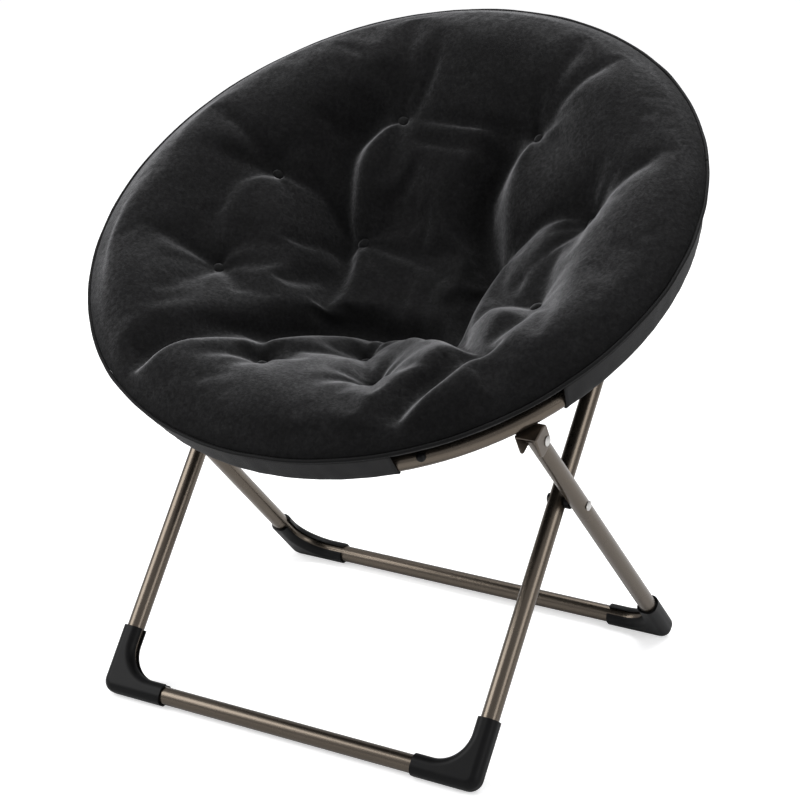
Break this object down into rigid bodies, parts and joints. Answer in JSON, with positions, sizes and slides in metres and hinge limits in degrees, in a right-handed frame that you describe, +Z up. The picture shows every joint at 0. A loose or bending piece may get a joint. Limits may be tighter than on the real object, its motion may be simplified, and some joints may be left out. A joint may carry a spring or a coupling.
{
  "type": "folding saucer chair",
  "caption": "Round padded saucer seat with button tufts on a tube hoop that folds at its sides, carried by two crossed U-shaped tube frames with moulded foot caps.",
  "frame": {"origin": "on the floor, under the middle of the open chair's outline", "axes": "+X to the sitter's left, -Y the way the chair faces, +Z up"},
  "size_m": [0.805, 0.7051, 0.8167],
  "materials": {
    "frame_paint": "satin bronze powder coat",
    "hinge_steel": "satin bronze powder coat",
    "rivet_zinc": "zinc plated",
    "foot_plastic": "satin black",
    "plush": "short black plush pile",
    "piping": "black piping",
    "back_fabric": "black woven polyester"
  },
  "bodies": {
    "front_legs": {"front_leg_frame": "frame_paint", "front_foot_cap_right": "foot_plastic", "front_foot_cap_left": "foot_plastic", "scissor_rivet_inner_right": "rivet_zinc", "scissor_spacer_right": "foot_plastic", "scissor_rivet_inner_left": "rivet_zinc", "scissor_spacer_left": "foot_plastic"},
    "hoop_rear": {"hoop_rear_tube": "frame_paint", "rear_bracket_right": "frame_paint", "rear_bracket_rivet_right": "rivet_zinc", "hinge_tongue_right": "hinge_steel", "rear_bracket_left": "frame_paint", "rear_bracket_rivet_left": "rivet_zinc", "hinge_tongue_left": "hinge_steel", "piping_rear": "piping", "sleeve_rear": "back_fabric", "sleeve_shoulder_right": "back_fabric", "sleeve_shoulder_left": "back_fabric", "seat_cushion_rear": "plush", "back_cover_rear": "back_fabric", "tuft_buttons_rear": "plush"},
    "hoop_front": {"hoop_front_tube": "frame_paint", "front_bracket_right": "frame_paint", "front_bracket_rivet_right": "rivet_zinc", "hinge_yoke_right": "hinge_steel", "hinge_rivet_right": "rivet_zinc", "front_bracket_left": "frame_paint", "front_bracket_rivet_left": "rivet_zinc", "hinge_yoke_left": "hinge_steel", "hinge_rivet_left": "rivet_zinc", "piping_front": "piping", "sleeve_front": "back_fabric", "sleeve_side_right": "back_fabric", "sleeve_side_left": "back_fabric", "hem_clip_right": "foot_plastic", "hem_clip_left": "foot_plastic", "seat_cushion_front": "plush", "back_cover_front": "back_fabric", "tuft_buttons_front": "plush"},
    "rear_legs": {"rear_leg_frame": "frame_paint", "rear_foot_cap_right": "foot_plastic", "rear_foot_cap_left": "foot_plastic", "scissor_rivet_outer_right": "rivet_zinc", "scissor_rivet_outer_left": "rivet_zinc"}
  },
  "joints": [
    {"name": "rear_bracket_pivot", "type": "hinge", "parent": "front_legs", "child": "hoop_rear", "pos_m": [0, 0.25109, 0.6695], "axis": [-1, 0, 0], "range_deg": [0, 145.6], "deforming": ["seat_cushion_rear", "back_cover_rear", "tuft_buttons_rear"]},
    {"name": "hoop_hinge", "type": "hinge", "parent": "hoop_rear", "child": "hoop_front", "pos_m": [0, 0.16551, 0.63198], "axis": [1, 0, 0], "range_deg": [0, 164.2], "deforming": ["seat_cushion_front", "back_cover_front", "tuft_buttons_front"]},
    {"name": "front_bracket_pivot", "type": "hinge", "parent": "hoop_front", "child": "rear_legs", "pos_m": [0, -0.1749, 0.41919], "axis": [-1, 0, 0], "range_deg": [0, 96.6]}
  ],
  "couplings": [
    {"joint": "hoop_hinge", "follows": "rear_bracket_pivot", "ratio": 1.1272},
    {"joint": "front_bracket_pivot", "follows": "rear_bracket_pivot", "ratio": 0.66291}
  ]
}
